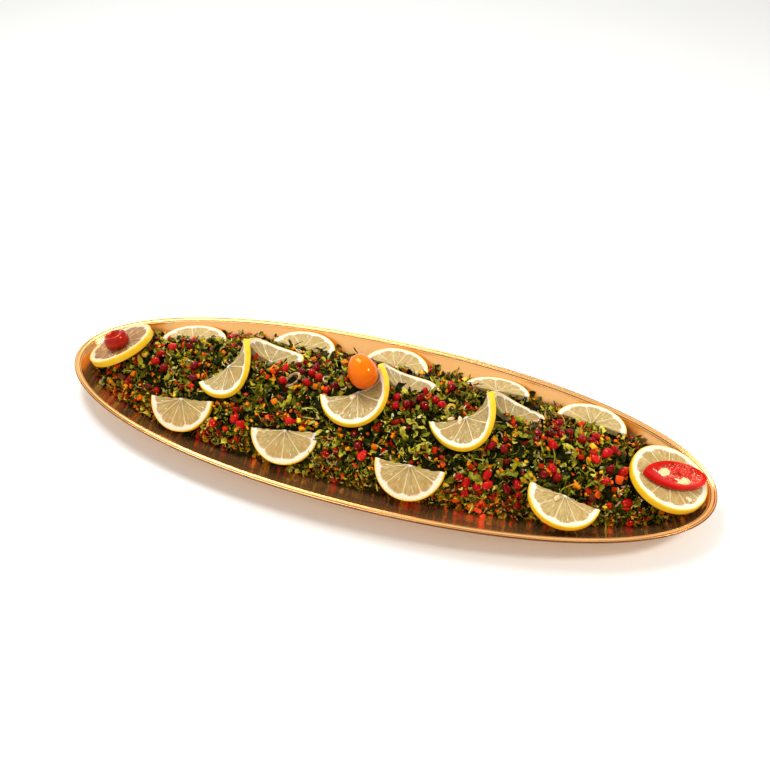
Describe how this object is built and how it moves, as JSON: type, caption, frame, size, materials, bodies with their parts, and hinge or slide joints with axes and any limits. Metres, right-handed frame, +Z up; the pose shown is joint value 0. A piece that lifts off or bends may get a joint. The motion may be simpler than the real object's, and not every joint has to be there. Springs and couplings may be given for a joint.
{
  "type": "dish of armenian salad",
  "caption": "Long oval copper platter heaped with chopped herb and bulgur salad, pomegranate seeds and lemon slices, served at table.",
  "frame": {"origin": "middle of the platter's flat base, on the surface it stands on", "axes": "+X along the platter towards the chilli slice, +Z up, so the side shown nearest is -Y"},
  "size_m": [0.6, 0.206, 0.0856],
  "materials": {
    "copper": "polished copper with a slight haze",
    "herb_salad": "moist chopped herbs, bulgur and seeds",
    "lemon": "moist lemon flesh, white pith and yellow rind",
    "orange_tomato": "glossy skin",
    "red_pepper": "glossy moist flesh"
  },
  "bodies": {
    "root": {"platter": "copper", "salad": "herb_salad", "lemon_front_1": "lemon", "lemon_front_2": "lemon", "lemon_front_3": "lemon", "lemon_front_4": "lemon", "lemon_back_1": "lemon", "lemon_back_2": "lemon", "lemon_back_3": "lemon", "lemon_back_4": "lemon", "lemon_back_5": "lemon", "lemon_round_left": "lemon", "lemon_round_right": "lemon", "lemon_twist_1": "lemon", "lemon_twist_2": "lemon", "lemon_twist_3": "lemon", "plum_tomato": "orange_tomato", "chilli_slice": "red_pepper", "pepper_piece": "red_pepper"}
  },
  "joints": []
}
